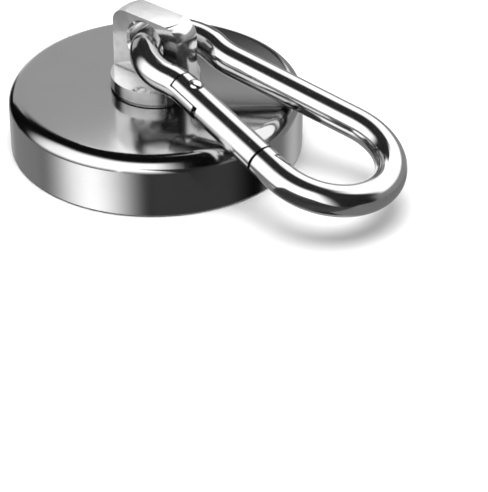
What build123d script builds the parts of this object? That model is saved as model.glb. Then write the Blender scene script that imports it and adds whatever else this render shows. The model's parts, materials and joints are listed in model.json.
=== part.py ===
"""Magnet fishing magnet: a pot magnet with a swivel eye and a sprung snap hook.

Millimetres, +Z up. The origin is the centre of the pull face, the pot's flat underside. The pot's
axis is Z, the eye's cross hole runs along Y, and the hook lies towards +X, resting on the pot's rim.
"""
import os
from math import cos, radians, sin, sqrt

from build123d import *

# --- Pot and magnet ---------------------------------------------------------------------------
cup_d = 94.0
cup_h = 20.0
cup_rim_r = 4.5  # rounding of the top rim
cup_top_t = 7.0
cup_wall_t = 7.5
foot_chamfer = 0.6
magnet_d = 74.0
magnet_bore_d = 24.0
face_recess = 0.2  # magnet, resin and plug stand this far above the pull face
fit_gap = 0.03  # radial gap between pieces that are glued or pressed together

# --- Swivel -----------------------------------------------------------------------------------
running_gap = 0.05  # radial gap of a shaft that turns in its hole
eye_bar_d = 28.5  # the eye is cut from round bar
collar_z = 20.85
collar_t = 4.0
plate_t = 9.5
eye_top_z = 45.6
eye_corner_r = 5.0
eye_foot_r = 2.2
eye_edge = 0.5
eye_hole_d = 14.0
eye_hole_z = 36.8
eye_hole_chamfer = 0.8
journal_d = 14.0
bush_d = 18.0
sleeve_bore_d = 19.0
thrust_washer_d = 27.4
thrust_washer_t = 0.65
end_play = 0.3
retainer_d = 18.4
retainer_t = 2.0
lock_washer_d = 14.0
lock_washer_t = 1.8
screw_d = 8.0
screw_len = 15.0
screw_head_d = 13.0
screw_head_t = 5.0
screw_socket_af = 5.0
screw_socket_depth = 2.6
plug_t = 3.0
washer_play = 0.3  # radial gap between a loose washer and what goes through it
edge_break = 0.4  # small chamfer on turned and ground edges

# --- Snap hook, laid out in its own plane: u runs from the eye to the wide bend, v across ---------
bar_d = 10.0
hook_len = 100.0
small_r = 12.4  # centreline radius of the small end
large_r = 20.0  # centreline radius of the wide end
neck_r = 17.0  # centreline radius of the bend between the small end and a straight bar
bar_angle = 10.4  # each straight bar leans out from the hook's middle line by this much
rest_pitch = 15.1  # the hook hangs down from the eye by this much when it lies on the rim
rest_yaw = 2.2  # slack of the hook's bar in the eye

# --- Gate, laid out from its rivet: x along the front bar, y inwards ----------------------------
rivet_u = 26.0  # distance of the rivet from the eye's hole, along the hook
rivet_d = 3.0
rivet_head_d = 4.2
rivet_head_h = 1.25
rivet_seat_n = 4.45  # height of the rivet heads' seats above the hook's middle plane
heel_r = 5.6  # the gate's hinge end, rounded about the rivet on its inner side
gate_gap = 0.3
gate_len = 32.4  # rivet to the gate's tip
tongue_t = 3.6
tongue_len = 5.0
tongue_corner_r = 2.5
fork_gap = 0.2
fork_len = 6.6
nose_gap = 0.5
neck_half_t = 1.3
head_start = 37.0
head_end = 41.2
head_floor = 0.7  # the head's outer face is this far inwards of the gate's axis
head_rise = 1.0  # and slopes inwards by this much along its length
pocket_gap = 0.4
plunger_d = 3.2
plunger_len = 8.0
plunger_gap = 0.3
spring_wire_d = 0.5
spring_len = 11.0
spring_turns = 9

os.makedirs("parts", exist_ok=True)


def finish(part, label):
    """Name a finished piece and write it to its own file."""
    part.label = label
    export_step(part, f"parts/{label}.step")
    print(label, round(part.volume, 1))


def ring(outer_d, inner_d, bottom, top, edge=0):
    """A plain ring about the pot's axis."""
    with BuildPart() as body:
        with BuildSketch(Plane.XY.offset(bottom)):
            Circle(outer_d / 2)
            Circle(inner_d / 2, mode=Mode.SUBTRACT)
        extrude(amount=top - bottom)
        if edge:
            chamfer(body.edges().filter_by(GeomType.CIRCLE), edge)
    return body.part


# Heights of the magnet's cavity and of the swivel's stack below the eye.
cavity_z = cup_h - cup_top_t
cavity_d = cup_d - 2 * cup_wall_t
journal_z = cavity_z - end_play
retainer_z = journal_z - retainer_t
lock_washer_z = retainer_z - lock_washer_t
collar_top_z = collar_z + collar_t

# --- Pot ------------------------------------------------------------------------------------------
with BuildPart() as cup:
    Cylinder(cup_d / 2, cup_h, align=(Align.CENTER, Align.CENTER, Align.MIN))
    fillet(cup.faces().sort_by(Axis.Z)[-1].edges(), cup_rim_r)
    chamfer(cup.faces().sort_by(Axis.Z)[0].edges(), foot_chamfer)
    with BuildSketch(Plane.XY):
        Circle(cavity_d / 2)
    extrude(amount=cavity_z, mode=Mode.SUBTRACT)
    Hole(bush_d / 2)
finish(cup.part, "cup")

finish(ring(magnet_d, magnet_bore_d, face_recess, cavity_z, edge_break), "magnet_ring")
finish(ring(cavity_d - 2 * fit_gap, magnet_d + 2 * fit_gap, face_recess, cavity_z), "outer_potting")
finish(ring(magnet_bore_d - 2 * fit_gap, sleeve_bore_d, face_recess, cavity_z), "inner_sleeve")

with BuildPart() as bore_plug:
    with BuildSketch(Plane.XY.offset(face_recess)):
        Circle(sleeve_bore_d / 2 - fit_gap)
    extrude(amount=plug_t)
    chamfer(bore_plug.edges().filter_by(GeomType.CIRCLE), edge_break)
finish(bore_plug.part, "bore_plug")

# --- Swivel -----------------------------------------------------------------------------------------
finish(
    ring(bush_d - 2 * fit_gap, journal_d + 2 * running_gap, cavity_z, cup_h, edge_break),
    "swivel_bush",
)
finish(
    ring(thrust_washer_d, journal_d + 2 * washer_play, cup_h, cup_h + thrust_washer_t),
    "thrust_washer",
)

# The eye: a round bar, milled to a flat plate above its collar, with a journal turned below.
with BuildPart() as swivel_eye:
    with BuildSketch(Plane.XY.offset(collar_z)):
        Circle(eye_bar_d / 2)
    extrude(amount=eye_top_z - collar_z)
    with BuildSketch(Plane.YZ) as side_view:
        with Locations((0, collar_z)):
            Rectangle(eye_bar_d, collar_t, align=(Align.CENTER, Align.MIN))
            Rectangle(plate_t, eye_top_z - collar_z, align=(Align.CENTER, Align.MIN))
        inner_corners = (
            side_view.vertices()
            .filter_by_position(Axis.Y, -plate_t / 2 - eye_edge, plate_t / 2 + eye_edge)
            .filter_by_position(Axis.Z, collar_top_z - eye_edge, collar_top_z + eye_edge)
        )
        fillet(inner_corners, eye_foot_r)
    extrude(amount=eye_bar_d, both=True, mode=Mode.INTERSECT)
    top_ends = (
        swivel_eye.edges()
        .filter_by(GeomType.CIRCLE)
        .filter_by_position(Axis.Z, eye_top_z - eye_edge, eye_top_z + eye_edge)
    )
    fillet(top_ends, eye_corner_r)
    with BuildSketch(Plane.XZ.offset(-plate_t)):
        with Locations((0, eye_hole_z)):
            Circle(eye_hole_d / 2)
    extrude(amount=2 * plate_t, mode=Mode.SUBTRACT)
    hole_edges = (
        swivel_eye.edges()
        .filter_by(GeomType.CIRCLE)
        .filter_by(lambda e: abs(e.radius - eye_hole_d / 2) < 0.01)
    )
    chamfer(hole_edges, eye_hole_chamfer)
    with BuildSketch(Plane.XY.offset(journal_z)):
        Circle(journal_d / 2)
    extrude(until=Until.NEXT)
    with BuildSketch(Plane.XY.offset(journal_z)):
        Circle(screw_d / 2)
    extrude(amount=screw_len, mode=Mode.SUBTRACT)
finish(swivel_eye.part, "swivel_eye")

washer_bore_d = screw_d + 2 * washer_play
finish(ring(retainer_d, washer_bore_d, retainer_z, journal_z, edge_break), "retaining_washer")
finish(ring(lock_washer_d, washer_bore_d, lock_washer_z, retainer_z, edge_break), "lock_washer")

with BuildPart() as swivel_screw:
    with BuildSketch(Plane.XY.offset(lock_washer_z - screw_head_t)):
        Circle(screw_head_d / 2)
    extrude(amount=screw_head_t)
    chamfer(swivel_screw.edges().sort_by(Axis.Z)[0], 2 * edge_break)
    with BuildSketch(Plane.XY.offset(lock_washer_z)):
        Circle(screw_d / 2 - fit_gap)
    extrude(amount=screw_len)
    chamfer(swivel_screw.edges().sort_by(Axis.Z)[-1], 2 * edge_break)
    with BuildSketch(Plane.XY.offset(lock_washer_z - screw_head_t)):
        RegularPolygon(screw_socket_af / 2, 6, major_radius=False)
    extrude(amount=screw_socket_depth, mode=Mode.SUBTRACT)
finish(swivel_screw.part, "swivel_screw")

# --- Snap hook --------------------------------------------------------------------------------------
# The hook's plane goes through the eye's hole, and leans down on to the rim.
hook_along = Vector(1, 0, 0).rotate(Axis.Y, rest_pitch).rotate(Axis.Z, rest_yaw)
hook_normal = Vector(0, 0, 1).rotate(Axis.Y, rest_pitch).rotate(Axis.Z, rest_yaw)
hook_plane = Plane(origin=(0, 0, eye_hole_z), x_dir=hook_along, z_dir=hook_normal)

# Corner points of the back bar's centreline, at +v. The front bar's are the same at -v.
lean = radians(bar_angle)
bar_dir = Vector(cos(lean), sin(lean))
bar_out = Vector(-sin(lean), cos(lean))
small_centre = Vector(small_r, 0)
large_centre = Vector(hook_len - bar_d - large_r, 0)
large_start = large_centre + bar_out * large_r
# The neck's bend touches the straight bar and the small end, so its centre lies on a line beside
# the bar, and neck_r further out than the small end.
beside = large_start + bar_out * neck_r - small_centre
drop = beside.dot(bar_dir)
reach = sqrt(drop**2 - beside.length**2 + (small_r + neck_r) ** 2)
neck_centre = small_centre + beside - bar_dir * (drop - reach)
neck_end = neck_centre - bar_out * neck_r
neck_start = small_centre + (neck_centre - small_centre).normalized() * small_r
neck_mid = neck_centre + ((neck_start + neck_end) * 0.5 - neck_centre).normalized() * neck_r


def back(point):
    """A point of the back bar's centreline, in space."""
    return hook_plane.from_local_coords(point)


def front(point):
    """The same point on the front bar."""
    return hook_plane.from_local_coords(Vector(point.X, -point.Y))


# The rivet is on the front bar's centreline. The gate's plane has its x axis along the bar, from the
# rivet to the gate's tip, and its y axis into the hook.
rivet_v = neck_end.Y + (rivet_u - neck_end.X) * sin(lean) / cos(lean)
gate_plane = Plane(
    origin=front(Vector(rivet_u, rivet_v)),
    x_dir=front(bar_dir) - hook_plane.origin,
    z_dir=hook_normal,
)
gate_axis = Axis(gate_plane.origin, gate_plane.x_dir)
plunger_start = tongue_len + plunger_gap


def heel_outline(radius, far):
    """Draw the gate's hinge end: square on its outer side, and round about the rivet on its inner."""
    Circle(radius)
    Rectangle(far, 2 * bar_d, align=(Align.MIN, Align.CENTER))
    Rectangle(radius, bar_d, align=(Align.MAX, Align.MAX))


def across(distance):
    """The plane square to the gate's bar at this distance from the rivet, with its x axis inwards."""
    return Plane(
        origin=gate_plane.from_local_coords((distance, 0, 0)),
        x_dir=gate_plane.y_dir,
        z_dir=gate_plane.x_dir,
    )


def head_outline(gap):
    """Draw the head on the gate's tip, or with a gap the pocket it shuts into."""
    Polygon(
        (head_start - gap, head_floor - gap),
        (head_end + gap, head_floor + head_rise - gap),
        (head_end + gap, bar_d),
        (head_start - gap, bar_d),
        align=None,
    )


with BuildPart() as hook_body:
    with BuildLine():
        Line(across(gate_len + nose_gap).origin, front(large_start))
        ThreePointArc(front(large_start), back(large_centre + Vector(large_r, 0)), back(large_start))
        Line(back(large_start), back(neck_end))
        ThreePointArc(back(neck_end), back(neck_mid), back(neck_start))
        ThreePointArc(back(neck_start), hook_plane.origin, front(neck_start))
        ThreePointArc(front(neck_start), front(neck_mid), front(neck_end))
        Line(front(neck_end), across(tongue_len).origin)
    with BuildSketch(across(gate_len + nose_gap)):
        Circle(bar_d / 2)
    sweep()
    # Tongue: the bar is cut away above and below it, and at its end.
    for side in (1, -1):
        with BuildSketch(gate_plane.offset(side * tongue_t / 2)):
            heel_outline(heel_r + gate_gap, bar_d)
        extrude(amount=side * bar_d, mode=Mode.SUBTRACT)
    with BuildSketch(gate_plane):
        with Locations((tongue_len - tongue_corner_r, 0)):
            Rectangle(bar_d, 2 * bar_d, align=(Align.MIN, Align.CENTER))
        with Locations((tongue_len - tongue_corner_r, bar_d / 2 - tongue_corner_r)):
            Rectangle(tongue_corner_r, 2 * bar_d, align=(Align.MIN, Align.MAX), mode=Mode.SUBTRACT)
            Circle(tongue_corner_r, mode=Mode.SUBTRACT)
    extrude(amount=tongue_t, both=True, mode=Mode.SUBTRACT)
    with BuildSketch(gate_plane):
        Circle(rivet_d / 2 + fit_gap)
    extrude(amount=tongue_t, both=True, mode=Mode.SUBTRACT)
    # Nose: a pocket, open inwards and through its thickness, for the head on the gate's tip, and a
    # slot between two cheeks for the neck behind that head.
    with BuildSketch(gate_plane):
        head_outline(pocket_gap)
    extrude(amount=bar_d, both=True, mode=Mode.SUBTRACT)
    with BuildSketch(gate_plane):
        with Locations((gate_len, head_floor - pocket_gap)):
            Rectangle(head_start - gate_len, bar_d, align=Align.MIN)
    extrude(amount=neck_half_t + pocket_gap, both=True, mode=Mode.SUBTRACT)
finish(hook_body.part, "hook_body")

with BuildPart() as gate:
    with BuildSketch(across(-heel_r)):
        Circle(bar_d / 2)
    extrude(amount=heel_r + gate_len)
    with BuildSketch(gate_plane):
        heel_outline(heel_r, 2 * gate_len)
        Circle(gate_len, mode=Mode.INTERSECT)
    extrude(amount=bar_d, both=True, mode=Mode.INTERSECT)
    # Tip: a neck, and a head as thick as the bar, which the nose's pocket holds.
    with BuildSketch(gate_plane):
        with Locations((gate_len - nose_gap, head_floor)):
            Rectangle(head_start + 2 * nose_gap - gate_len, bar_d, align=Align.MIN)
    extrude(amount=neck_half_t, both=True)
    with BuildSketch(gate_plane):
        head_outline(0)
    extrude(amount=bar_d, both=True)
    with BuildSketch(across(-heel_r)):
        Circle(bar_d / 2)
    extrude(amount=heel_r + head_end, mode=Mode.INTERSECT)
    # Fork: a slot over the hook's tongue, the rivet's hole and a seat for each rivet head.
    with BuildSketch(gate_plane):
        with Locations((fork_len, 0)):
            Rectangle(bar_d + fork_len, 2 * bar_d, align=(Align.MAX, Align.CENTER))
    extrude(amount=tongue_t / 2 + fork_gap, both=True, mode=Mode.SUBTRACT)
    with BuildSketch(gate_plane):
        Circle(rivet_d / 2 + running_gap)
    extrude(amount=bar_d, both=True, mode=Mode.SUBTRACT)
    for side in (1, -1):
        with BuildSketch(gate_plane.offset(side * (rivet_seat_n - fork_gap / 2))):
            Circle(rivet_head_d / 2 + fork_gap)
        extrude(amount=side * bar_d, mode=Mode.SUBTRACT)
    # Bore for the plunger and its spring.
    with BuildSketch(across(fork_len)):
        Circle(plunger_d / 2 + running_gap)
    extrude(amount=plunger_start + plunger_len + spring_len - fork_len, mode=Mode.SUBTRACT)
finish(gate.part, "gate")

with BuildPart() as gate_rivet:
    with BuildSketch(gate_plane):
        Circle(rivet_d / 2)
    extrude(amount=rivet_seat_n, both=True)
    for side in (1, -1):
        with BuildSketch(gate_plane.offset(side * rivet_seat_n)):
            Circle(rivet_head_d / 2)
        extrude(amount=side * rivet_head_h)
    head_rims = (
        gate_rivet.edges()
        .filter_by(GeomType.CIRCLE)
        .filter_by(
            lambda e: abs(gate_plane.to_local_coords(e.arc_center).Z) > rivet_seat_n + rivet_head_h / 2
        )
    )
    fillet(head_rims, 0.9 * rivet_head_h)
finish(gate_rivet.part, "gate_rivet")

with BuildPart() as gate_plunger:
    with BuildSketch(across(plunger_start)):
        Circle(plunger_d / 2)
    extrude(amount=plunger_len)
    fillet(gate_plunger.edges().sort_by(gate_axis)[0], plunger_d / 4)
finish(gate_plunger.part, "gate_plunger")

with BuildPart() as gate_spring:
    with BuildLine() as coil:
        Helix(
            pitch=(spring_len - 2 * spring_wire_d) / spring_turns,
            height=spring_len - 2 * spring_wire_d,
            radius=plunger_d / 2 - spring_wire_d / 2,
            center=gate_plane.from_local_coords((plunger_start + plunger_len + spring_wire_d, 0, 0)),
            direction=gate_plane.x_dir,
        )
    with BuildSketch(Plane(origin=coil.line @ 0, z_dir=coil.line % 0)):
        Circle(spring_wire_d / 2)
    sweep(is_frenet=True)
finish(gate_spring.part, "gate_spring")
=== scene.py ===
"""Studio scene for the magnet fishing magnet: finishes, light, floor and camera.

Lengths are in metres. Angles in tables are in degrees.
"""
import json
from math import cos, pi, radians, sin

import bpy
from mathutils import Matrix, Vector

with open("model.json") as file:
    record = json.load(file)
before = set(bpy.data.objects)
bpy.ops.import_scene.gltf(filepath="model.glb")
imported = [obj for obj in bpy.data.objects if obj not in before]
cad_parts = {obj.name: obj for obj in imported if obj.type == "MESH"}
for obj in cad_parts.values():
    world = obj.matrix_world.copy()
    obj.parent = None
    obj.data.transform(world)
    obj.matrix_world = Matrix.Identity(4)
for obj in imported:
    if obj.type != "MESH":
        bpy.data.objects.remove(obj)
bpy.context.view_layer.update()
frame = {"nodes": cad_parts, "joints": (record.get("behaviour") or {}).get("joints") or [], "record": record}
scene = bpy.context.scene
scene.view_settings.view_transform = "Standard"
nodes = frame["nodes"]
mounts = {mount["name"]: mount for mount in frame["record"]["mounts"]}
joints = {joint["name"]: joint for joint in frame["joints"]}

# --- Camera -----------------------------------------------------------------------------------
HEADING = radians(39.76)
CAMERA_TILT = radians(33.64)
CAMERA_SPOT = (0.02812, -0.64897, 0.39001)
CAMERA_LENS = 171.0
SENSOR_WIDTH = 36
NEAREST_SEEN = 0.05
FARTHEST_SEEN = 50


def turned(vector):
    """A vector given from the camera's heading (x right, y away, z up), in the model's frame."""
    return Matrix.Rotation(HEADING, 3, "Z") @ Vector(vector)


def add_camera():
    camera = bpy.data.objects.new("camera", bpy.data.cameras.new("camera"))
    scene.collection.objects.link(camera)
    camera.location = turned(CAMERA_SPOT)
    sight = turned((0, cos(CAMERA_TILT), -sin(CAMERA_TILT)))
    camera.rotation_euler = sight.to_track_quat("-Z", "Y").to_euler()
    camera.data.lens = CAMERA_LENS
    camera.data.sensor_width = SENSOR_WIDTH
    camera.data.clip_start = NEAREST_SEEN
    camera.data.clip_end = FARTHEST_SEEN
    scene.camera = camera


# --- Shader nodes -----------------------------------------------------------------------------
def grey(value):
    """A neutral colour of this linear brightness."""
    return (value, value, value, 1)


class Graph:
    """A node tree, with one call for each kind of node that the scene uses."""

    def __init__(self, tree):
        self.tree = tree
        tree.nodes.clear()

    def put(self, socket, value):
        if isinstance(value, bpy.types.NodeSocket):
            self.tree.links.new(value, socket)
        else:
            socket.default_value = value

    def node(self, kind, inputs=(), **settings):
        made = self.tree.nodes.new(kind)
        for name, value in settings.items():
            setattr(made, name, value)
        for name, value in dict(inputs).items():
            self.put(made.inputs[name], value)
        return made

    def math(self, operation, first, second=0.0):
        made = self.node("ShaderNodeMath", operation=operation)
        self.put(made.inputs[0], first)
        self.put(made.inputs[1], second)
        return made.outputs[0]

    def ramp(self, value, low, high, start=0.0, end=1.0):
        """start where value is low, end where it is high, and smooth in between."""
        spans = {"Value": value, "From Min": low, "From Max": high, "To Min": start, "To Max": end}
        made = self.node("ShaderNodeMapRange", spans, interpolation_type="SMOOTHSTEP")
        return made.outputs["Result"]

    def blend(self, factor, first, second):
        made = self.node("ShaderNodeMix", {"Factor": factor}, data_type="RGBA")
        self.put(made.inputs["A"], first)
        self.put(made.inputs["B"], second)
        return made.outputs["Result"]


# --- Studio: soft boxes round the object, and the glow of the floor -----------------------------
# Each is: middle azimuth; left, right, low and high edges, each fading from one angle to the
# other; strength. Azimuths are from the camera's heading, positive to the right, and the left
# and right edges are from the middle. Elevations below 0 stand for the lit floor.
PANELS = {
    "left_box": (-95, (-27, 17), (-5, 25), (-27, -6), (40, 58), 2.2),
    "front_box": (-150, (-55, -25), (26, 64), (-27, -6), (44, 64), 2.2),
    "back_box": (-3, (-27, -14), (4, 12), (26, 30), (48, 61), 2.0),
    "back_box_foot": (-3, (-27, -14), (4, 12), (-30, -18), (26, 30), 0.95),
    "right_box": (40, (-38, -33), (46, 60), (12, 26), (57, 70), 1.8),
    "right_wall": (60, (-62, -50), (40, 54), (-24, -8), (14, 34), 0.33),
    "left_floor": (-127, (-50, -2), (-2, 50), (-60, -40), (-29, -27), 2.1),
    "far_left_floor": (-52, (-50, -20), (10, 44), (-90, -88), (-26, -16), 0.31),
    "far_floor": (15, (-55, -30), (30, 50), (-90, -88), (-22, -10), 0.42),
    "right_floor": (72, (-50, -30), (8, 18), (-90, -88), (-22, -10), 0.27),
    "near_floor": (165, (-70, -40), (10, 40), (-70, -60), (-20, -8), 0.067),
}
ROOM_LIGHT = 0.004
DEGREES_PER_RADIAN = 180 / pi


def add_studio():
    """The light that the metal mirrors, by direction, and a white backdrop for the camera."""
    world = bpy.data.worlds.new("studio")
    scene.world = world
    world.use_nodes = True
    g = Graph(world.node_tree)
    direction = g.node("ShaderNodeTexCoord").outputs["Generated"]
    height = g.node("ShaderNodeSeparateXYZ", {"Vector": direction}).outputs["Z"]
    elevation = g.math("MULTIPLY", g.math("ARCSINE", height), DEGREES_PER_RADIAN)

    def panel(middle, left, right, low, high, strength):
        spin = g.node("ShaderNodeVectorRotate", {"Vector": direction}, rotation_type="Z_AXIS")
        spin.inputs["Angle"].default_value = radians(middle) - HEADING
        flat = g.node("ShaderNodeSeparateXYZ", {"Vector": spin.outputs["Vector"]})
        bearing = g.math("ARCTAN2", flat.outputs["X"], flat.outputs["Y"])
        azimuth = g.math("MULTIPLY", bearing, DEGREES_PER_RADIAN)
        edges = [
            g.ramp(azimuth, *left),
            g.ramp(azimuth, *right, 1, 0),
            g.ramp(elevation, *low),
            g.ramp(elevation, *high, 1, 0),
        ]
        shade = strength
        for edge in edges:
            shade = g.math("MULTIPLY", edge, shade)
        return shade

    light = ROOM_LIGHT
    for box in PANELS.values():
        light = g.math("ADD", panel(*box), light)
    neutral = g.node("ShaderNodeCombineColor", {"Red": light, "Green": light, "Blue": light})
    lit = g.node("ShaderNodeBackground", {"Color": neutral.outputs["Color"]}).outputs[0]
    backdrop = g.node("ShaderNodeBackground", {"Color": grey(1)}).outputs[0]
    seen = g.node("ShaderNodeLightPath").outputs["Is Camera Ray"]
    mixed = g.node("ShaderNodeMixShader", {"Fac": seen})
    g.put(mixed.inputs[1], lit)
    g.put(mixed.inputs[2], backdrop)
    g.node("ShaderNodeOutputWorld", {"Surface": mixed.outputs[0]})
    world.cycles_visibility.diffuse = False  # the soft lights alone light the floor


def add_soft_light(name, spot, target, size, watts):
    """An area light for the floor and the duller metal, kept out of the mirror finishes."""
    lamp = bpy.data.lights.new(name, "AREA")
    lamp.shape = "DISK"
    lamp.size = size
    lamp.energy = watts
    holder = bpy.data.objects.new(name, lamp)
    scene.collection.objects.link(holder)
    holder.location = turned(spot)
    holder.rotation_euler = (turned(target) - holder.location).to_track_quat("-Z", "Y").to_euler()
    holder.visible_glossy = False
    holder.visible_camera = False


def flat_piece(name, corners, material):
    """A flat stage piece with these corners, in the camera's heading."""
    mesh = bpy.data.meshes.new(name)
    mesh.from_pydata([turned(corner) for corner in corners], [], [range(len(corners))])
    mesh.materials.append(material)
    piece = bpy.data.objects.new(name, mesh)
    scene.collection.objects.link(piece)
    return piece


FLOOR_REACH = 4.0
FLOOR_DROP = 0.00005  # below the pull face, so that the two don't share a plane
FLOOR_SHADE = 0.92


def add_floor():
    paper = bpy.data.materials.new("floor_paper")
    paper.use_nodes = True
    g = Graph(paper.node_tree)
    diffuse = g.node("ShaderNodeBsdfDiffuse", {"Color": grey(FLOOR_SHADE)}).outputs[0]
    g.node("ShaderNodeOutputMaterial", {"Surface": diffuse})
    signs = ((-1, -1), (1, -1), (1, 1), (-1, 1))
    corners = [(x * FLOOR_REACH, y * FLOOR_REACH, -FLOOR_DROP) for x, y in signs]
    flat_piece("floor", corners, paper).visible_glossy = False


LEAST_HEIGHT = 1e-6  # stands in for the height of a card that lies flat


def add_card(name, corners, shades):
    """A glowing card that only the mirror finishes see, a painted reflection, shaded by (share of its
    height, shade) stops.
    """
    tone = bpy.data.materials.new(name)
    tone.use_nodes = True
    g = Graph(tone.node_tree)
    place = g.node("ShaderNodeTexCoord").outputs["Object"]
    height = g.node("ShaderNodeSeparateXYZ", {"Vector": place}).outputs["Z"]
    foot = min(corner[2] for corner in corners)
    head = max(corner[2] for corner in corners)
    share = g.math("DIVIDE", g.math("SUBTRACT", height, foot), max(head - foot, LEAST_HEIGHT))
    ramp = g.node("ShaderNodeValToRGB", {"Fac": share})
    ramp.color_ramp.interpolation = "EASE"
    for position, _ in shades[2:]:  # the ramp starts with two stops of its own
        ramp.color_ramp.elements.new(position)
    for element, (position, shade) in zip(ramp.color_ramp.elements, shades):
        element.position = position
        element.color = grey(shade)
    glow = g.node("ShaderNodeEmission", {"Color": ramp.outputs["Color"]}).outputs[0]
    g.node("ShaderNodeOutputMaterial", {"Surface": glow})
    card = flat_piece(name, corners, tone)
    card.visible_camera = False
    card.visible_diffuse = False
    card.visible_shadow = False
    card.visible_transmission = False


# The cards at the hook's wide end: painted reflections of the floor, the dark one of the floor in shade
# under
# the wide end. Each is: the span along the hook, from the rope point; the near and far edges, to the
# camera's side of it; the height of the far edge; shades.
LEANING = ((0, 0.067), (0.3, 0.03), (0.6, 0.07), (1, 0.5))
FLOOR_CARDS = {
    "dark_card": ((-0.035, 0.03), (0.026, 0.1), 0.03, LEANING),
    "pale_card": ((0, 0.12), (-0.07, 0.025), 0, ((0, 0.25), (1, 0.25))),
}


def add_floor_cards():
    """Painted reflections of the floor: a dark card of its shade, leaning away from the hook's wide end, and
    a pale one flat on the floor.
    """
    back = Matrix.Rotation(-HEADING, 3, "Z")
    run = back @ Vector(mounts["rope_point"]["axis"])
    end = back @ Vector(mounts["rope_point"]["pos_m"])
    run = Vector((run.x, run.y, 0)).normalized()
    side = Vector((run.y, -run.x, 0))
    for name, ((start, finish), (near, far), head, shades) in FLOOR_CARDS.items():
        spots = ((start, near, 0), (start, far, head), (finish, far, head), (finish, near, 0))
        places = [(end + run * forward + side * aside, height) for forward, aside, height in spots]
        add_card(name, [(place.x, place.y, height) for place, height in places], shades)


# The cards that stand behind the pot, painted reflections for its flat top and rim. Each is: the left and
# right edges, from the pot's axis; the foot and the head; shades. The pot's flat top mirrors the first
# three, its rim the dark ones.
BACK_CARDS_AWAY = 0.12
EVEN_GREY = ((0, 0.56), (1, 0.56))
STRIPED = ((0.4, 0.04), (0.79, 0.55), (0.81, 0.01), (0.87, 0.01), (0.9, 0.22), (1, 0.25))
BACK_CARDS = {
    "grey_card": ((-0.022, 0.004), (0.03, 0.112), EVEN_GREY),
    "grey_side_card": ((-0.16, -0.022), (0.03, 0.12), EVEN_GREY),
    "shaded_card": ((0.004, 0.06), (0.03, 0.112), STRIPED),
    "rim_card": ((-0.045, 0.04), (0.155, 0.34), ((0, 0.3), (0.1, 0.0))),
    "rim_side_card": ((-0.16, -0.045), (0.12, 0.34), ((0, 0.4), (0.15, 0.0))),
}


def add_back_cards():
    for name, ((left, right), (foot, head), shades) in BACK_CARDS.items():
        corners = [(left, foot), (right, foot), (right, head), (left, head)]
        add_card(name, [(across, BACK_CARDS_AWAY, height) for across, height in corners], shades)


# --- Finishes ---------------------------------------------------------------------------------
NOISE_ROUGHNESS = 0.6
CREST_FADE = 0.12
SCRATCH_TONE = 0.5  # how far a scratch goes to its own tone
WEAR_SCALE = 900
BEVEL_SAMPLES = 4
OCCLUSION_SAMPLES = 6


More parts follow.
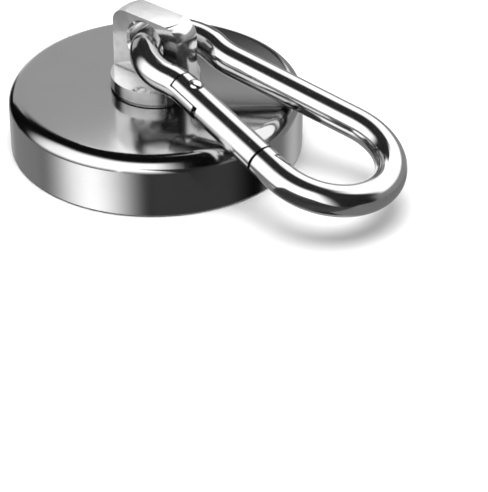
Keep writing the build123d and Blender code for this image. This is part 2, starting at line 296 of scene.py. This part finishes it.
class Finish(Graph):
    """A finish whose tone, gloss and relief vary over the surface.

    Masks are sockets from 0 to 1. A gloss is what the mask adds to the roughness.
    """

    def __init__(self, name, colour, roughness, metallic=1.0):
        self.material = bpy.data.materials.new(name)
        self.material.use_nodes = True
        super().__init__(self.material.node_tree)
        self.place = self.node("ShaderNodeTexCoord").outputs["Object"]
        self.colour = colour
        self.roughness = roughness
        self.relief = None
        self.metallic = metallic

    def along(self, direction):
        """The surface point with its X axis turned to this direction, for grain along it."""
        turn = Vector(direction).to_track_quat("X", "Z").inverted().to_euler()
        mapping = self.node("ShaderNodeMapping", {"Vector": self.place}, vector_type="POINT")
        mapping.inputs["Rotation"].default_value = turn
        return mapping.outputs["Vector"]

    def around(self):
        """(angle, radius, height) round the pot's axis, for turned and ring-shaped grain."""
        parts = self.node("ShaderNodeSeparateXYZ", {"Vector": self.place})
        x, y, z = (parts.outputs[axis] for axis in "XYZ")
        squares = self.math("ADD", self.math("MULTIPLY", x, x), self.math("MULTIPLY", y, y))
        polar = {"X": self.math("ARCTAN2", y, x), "Y": self.math("SQRT", squares), "Z": z}
        return self.node("ShaderNodeCombineXYZ", polar).outputs["Vector"]

    def noise(self, scale, detail=3.0, stretch=(1, 1, 1), at=None):
        mapping = self.node("ShaderNodeMapping", {"Vector": at or self.place}, vector_type="POINT")
        mapping.inputs["Scale"].default_value = stretch
        field = {"Vector": mapping.outputs["Vector"], "Scale": scale, "Detail": detail}
        field["Roughness"] = NOISE_ROUGHNESS
        return self.node("ShaderNodeTexNoise", field).outputs["Fac"]

    def tone(self, mask, colour):
        self.colour = self.blend(mask, self.colour, colour)

    def gloss(self, mask, amount):
        self.roughness = self.math("ADD", self.roughness, self.math("MULTIPLY", mask, amount))

    def raise_by(self, mask, metres):
        height = self.math("MULTIPLY", mask, metres)
        self.relief = height if self.relief is None else self.math("ADD", self.relief, height)

    def clouds(self, scale, dark, gloss):
        """Slow changes of tone and gloss, as handling leaves."""
        mask = self.ramp(self.noise(scale), low=0.42, high=0.7)
        self.tone(mask, dark)
        self.gloss(mask, gloss)

    def scratches(self, scale, stretch, at, light, gloss, depth, share=0.62):
        """Hair lines: the crests of a noise drawn out along one axis, above this share of it."""
        crests = self.noise(scale, detail=4.0, stretch=stretch, at=at)
        mask = self.ramp(crests, low=share, high=share + CREST_FADE)
        self.tone(self.math("MULTIPLY", mask, SCRATCH_TONE), light)
        self.gloss(mask, gloss)
        self.raise_by(mask, -depth)

    def edges(self, width):
        """1 on the outer edges, where a rounded normal leaves the true one."""
        bevel = self.node("ShaderNodeBevel", {"Radius": width}, samples=BEVEL_SAMPLES)
        true = self.node("ShaderNodeNewGeometry").outputs["Normal"]
        facing = self.node("ShaderNodeVectorMath", operation="DOT_PRODUCT")
        self.put(facing.inputs[0], bevel.outputs["Normal"])
        self.put(facing.inputs[1], true)
        return self.ramp(facing.outputs["Value"], low=0.995, high=0.9)

    def worn_edges(self, width, colour, gloss):
        """Rubbed edges, broken up by noise."""
        patches = self.ramp(self.noise(WEAR_SCALE), low=0.35, high=0.6)
        mask = self.math("MULTIPLY", self.edges(width), patches)
        self.tone(mask, colour)
        self.gloss(mask, gloss)

    def upright(self):
        """1 on walls, falling to 0 on level faces."""
        normal = self.node("ShaderNodeNewGeometry").outputs["Normal"]
        up = self.node("ShaderNodeSeparateXYZ", {"Vector": normal}).outputs["Z"]
        return self.ramp(self.math("ABSOLUTE", up), low=0.5, high=0.1)

    def shade_and_dull_hollows(self, reach, colour, gloss, unshaded_at=0.75, shaded_at=0.25, where=1.0):
        """Painted shade, and dulling, in joints and corners: from none to all as the clear share of the view
        falls.
        """
        distance = {"Distance": reach}
        view = self.node("ShaderNodeAmbientOcclusion", distance, samples=OCCLUSION_SAMPLES)
        mask = self.math("MULTIPLY", self.ramp(view.outputs["AO"], unshaded_at, shaded_at), where)
        # painted shade: the colour darkens where the view to the light closes in
        self.tone(mask, colour)
        self.gloss(mask, gloss)

    def done(self):
        shader = self.node("ShaderNodeBsdfPrincipled", {"Metallic": self.metallic})
        self.put(shader.inputs["Base Color"], self.colour)
        self.put(shader.inputs["Roughness"], self.roughness)
        true_height = {"Height": self.relief, "Strength": 1.0, "Distance": 1.0}
        bump = self.node("ShaderNodeBump", true_height)
        self.put(shader.inputs["Normal"], bump.outputs["Normal"])
        self.node("ShaderNodeOutputMaterial", {"Surface": shader.outputs["BSDF"]})
        return self.material


def dark_nickel():
    """Smoky bright nickel, on the pot: smooth, with wiping marks, a rubbed rim and painted shade in its
    hollows.
    """
    look = Finish("dark_nickel", grey(0.5), roughness=0.12)
    look.clouds(scale=45, dark=grey(0.485), gloss=0.02)
    wiped = {"light": grey(0.53), "depth": 2e-7}
    one_way, other_way = look.along((1, 0.5, 0)), look.along((1, -0.7, 0))
    look.scratches(scale=60, stretch=(1, 14, 14), at=one_way, gloss=0.04, share=0.66, **wiped)
    look.scratches(scale=90, stretch=(12, 1, 12), at=other_way, gloss=0.03, share=0.7, **wiped)
    look.raise_by(look.noise(scale=600, detail=2.0), metres=6e-7)
    look.worn_edges(width=0.0006, colour=grey(0.75), gloss=0.06)
    # painted shade: darker, and duller, in the pot's joints and corners
    look.shade_and_dull_hollows(reach=0.002, colour=grey(0.1), gloss=0.1)
    return look.done()


def polished_steel(name, direction):
    """Polished stainless bar: faint belt lines along it, and painted shade on its edges, to darken its
    joints' gaps, and in its hollows.
    """
    look = Finish(name, grey(0.6), roughness=0.1, metallic=0.98)
    look.clouds(scale=70, dark=grey(0.56), gloss=0.02)
    grain = look.along(direction)
    lines = {"light": grey(0.75), "gloss": 0.06, "depth": 3e-7}
    look.scratches(scale=120, stretch=(1, 18, 18), at=grain, **lines)
    look.raise_by(look.noise(scale=150, detail=3.0, stretch=(1, 10, 10), at=grain), metres=1e-6)
    # painted shade: a dark line along every edge, standing for the shade in the gaps at its joints
    edge_shade = look.edges(width=0.0004)
    look.tone(edge_shade, grey(0.05))
    look.gloss(edge_shade, amount=0.1)
    # painted shade: darker, and duller, in its joints and corners
    look.shade_and_dull_hollows(reach=0.0012, colour=grey(0.05), gloss=0.2)
    return look.done()


def satin_steel():
    """Stainless on the swivel eye: bright level faces, milled walls darkened with painted shade, rubbed
    edges, and painted shade in its hollows.
    """
    look = Finish("satin_steel", grey(0.83), roughness=0.12, metallic=0.92)
    # painted shade: the walls darker than the level faces, as overhead light leaves them
    look.tone(look.upright(), grey(0.58))
    look.clouds(scale=110, dark=grey(0.7), gloss=0.02)
    lines = {"light": grey(0.8), "gloss": 0.03, "depth": 2e-7}
    look.scratches(scale=160, stretch=(1, 1, 20), at=look.place, **lines)
    look.raise_by(look.noise(scale=2500, detail=2.0), metres=3e-7)
    look.worn_edges(width=0.0004, colour=grey(0.92), gloss=-0.03)
    # painted shade: the walls darker still where the eye's wide hollows close round them
    walls = {"unshaded_at": 0.85, "shaded_at": 0.35, "where": look.upright()}
    look.shade_and_dull_hollows(reach=0.014, colour=grey(0.2), gloss=0.03, **walls)
    # painted shade: darker, and duller, in its narrow joints
    look.shade_and_dull_hollows(reach=0.0015, colour=grey(0.05), gloss=0.1)
    return look.done()


def turned_steel(name, shade, roughness):
    """Lathe-turned steel: fine rings round a vertical axis."""
    look = Finish(name, grey(shade), roughness=roughness)
    look.clouds(scale=140, dark=grey(0.85 * shade), gloss=0.06)
    rings = look.noise(scale=900, detail=2.0, stretch=(0.02, 1, 1), at=look.around())
    look.raise_by(rings, metres=4e-6)
    look.tone(look.ramp(rings, low=0.5, high=0.8), grey(min(1.15 * shade, 1)))
    look.worn_edges(width=0.0003, colour=grey(min(1.3 * shade, 1)), gloss=0.0)
    return look.done()


def bronze():
    """Sintered bronze with dark oil-filled pores."""
    look = Finish("sintered_bronze", (0.55, 0.33, 0.13, 1), roughness=0.34)
    look.clouds(scale=200, dark=(0.36, 0.21, 0.09, 1), gloss=0.1)
    pores = look.ramp(look.noise(scale=5000, detail=2.0), low=0.62, high=0.7)
    look.tone(pores, (0.1, 0.06, 0.03, 1))
    look.raise_by(pores, metres=-8e-6)
    return look.done()


def zinc_plate(name):
    """Zinc plate, faintly blue, with its fine spangle."""
    look = Finish(name, (0.72, 0.75, 0.78, 1), roughness=0.28)
    look.clouds(scale=260, dark=(0.55, 0.58, 0.62, 1), gloss=0.12)
    look.raise_by(look.noise(scale=3000, detail=2.0), metres=3e-6)
    look.worn_edges(width=0.0002, colour=(0.85, 0.86, 0.87, 1), gloss=-0.05)
    return look.done()


def blackened_steel(name):
    """Blackened screw steel, brighter where the key and the washer have rubbed it."""
    look = Finish(name, (0.035, 0.036, 0.04, 1), roughness=0.4, metallic=0.8)
    look.clouds(scale=300, dark=(0.02, 0.02, 0.024, 1), gloss=0.1)
    look.raise_by(look.noise(scale=3500, detail=2.0), metres=3e-6)
    look.worn_edges(width=0.0004, colour=(0.3, 0.3, 0.31, 1), gloss=-0.1)
    return look.done()


def spring_steel(name, shade):
    """Drawn wire and ground pin: small, bright, with draw marks."""
    look = Finish(name, grey(shade), roughness=0.2)
    look.clouds(scale=400, dark=grey(0.7 * shade), gloss=0.08)
    grain = look.along(joints["plunger_slide"]["axis"])
    look.raise_by(look.noise(scale=2500, detail=2.0, stretch=(1, 8, 8), at=grain), metres=2e-6)
    look.worn_edges(width=0.0002, colour=grey(min(1.3 * shade, 1)), gloss=0.0)
    return look.done()


def magnet_plate():
    """Nickel plate of the magnet ring, duller than the pot's and faintly pitted."""
    look = Finish("magnet_plate", (0.62, 0.61, 0.58, 1), roughness=0.22)
    look.clouds(scale=120, dark=(0.5, 0.49, 0.46, 1), gloss=0.1)
    pits = look.ramp(look.noise(scale=2200, detail=3.0), low=0.64, high=0.72)
    look.raise_by(pits, metres=-1e-5)
    look.gloss(pits, amount=0.2)
    return look.done()


def cast_resin(name):
    """Grey-black cast resin: not metal, slightly wavy, with a few pinholes."""
    look = Finish(name, (0.03, 0.031, 0.034, 1), roughness=0.3, metallic=0.0)
    look.clouds(scale=130, dark=(0.05, 0.051, 0.055, 1), gloss=0.15)
    pinholes = look.ramp(look.noise(scale=1500, detail=1.0), low=0.7, high=0.74)
    look.raise_by(pinholes, metres=-5e-5)
    look.raise_by(look.noise(scale=250, detail=2.0), metres=3e-5)
    return look.done()


def assign_finishes():
    hook_run = Vector(mounts["rope_point"]["axis"])
    looks = {
        "cup": dark_nickel(),
        "magnet_ring": magnet_plate(),
        "outer_potting": cast_resin("potting_resin"),
        "bore_plug": cast_resin("plug_resin"),
        "inner_sleeve": turned_steel("sleeve_steel", 0.5, 0.3),
        "swivel_bush": bronze(),
        "thrust_washer": turned_steel("washer_steel", 0.4, 0.25),
        "swivel_eye": satin_steel(),
        "retaining_washer": zinc_plate("retaining_zinc"),
        "lock_washer": zinc_plate("lock_zinc"),
        "swivel_screw": blackened_steel("screw_black"),
        "hook_body": polished_steel("hook_steel", hook_run),
        "gate": polished_steel("gate_steel", hook_run),
        "gate_rivet": polished_steel("rivet_steel", joints["gate_open"]["axis"]),
        "gate_plunger": spring_steel("plunger_steel", 0.6),
        "gate_spring": spring_steel("spring_wire", 0.5),
    }
    for name, material in looks.items():
        mesh = nodes[name].data
        mesh.materials.clear()
        mesh.materials.append(material)


add_camera()
add_studio()
add_soft_light("key", spot=(0.02, -0.25, 1.5), target=(0.02, 0, 0), size=1.1, watts=16)
add_soft_light("fill", spot=(0, 0, 1.5), target=(0, 0, 0), size=3.0, watts=42)
add_floor()
add_floor_cards()
add_back_cards()
assign_finishes()
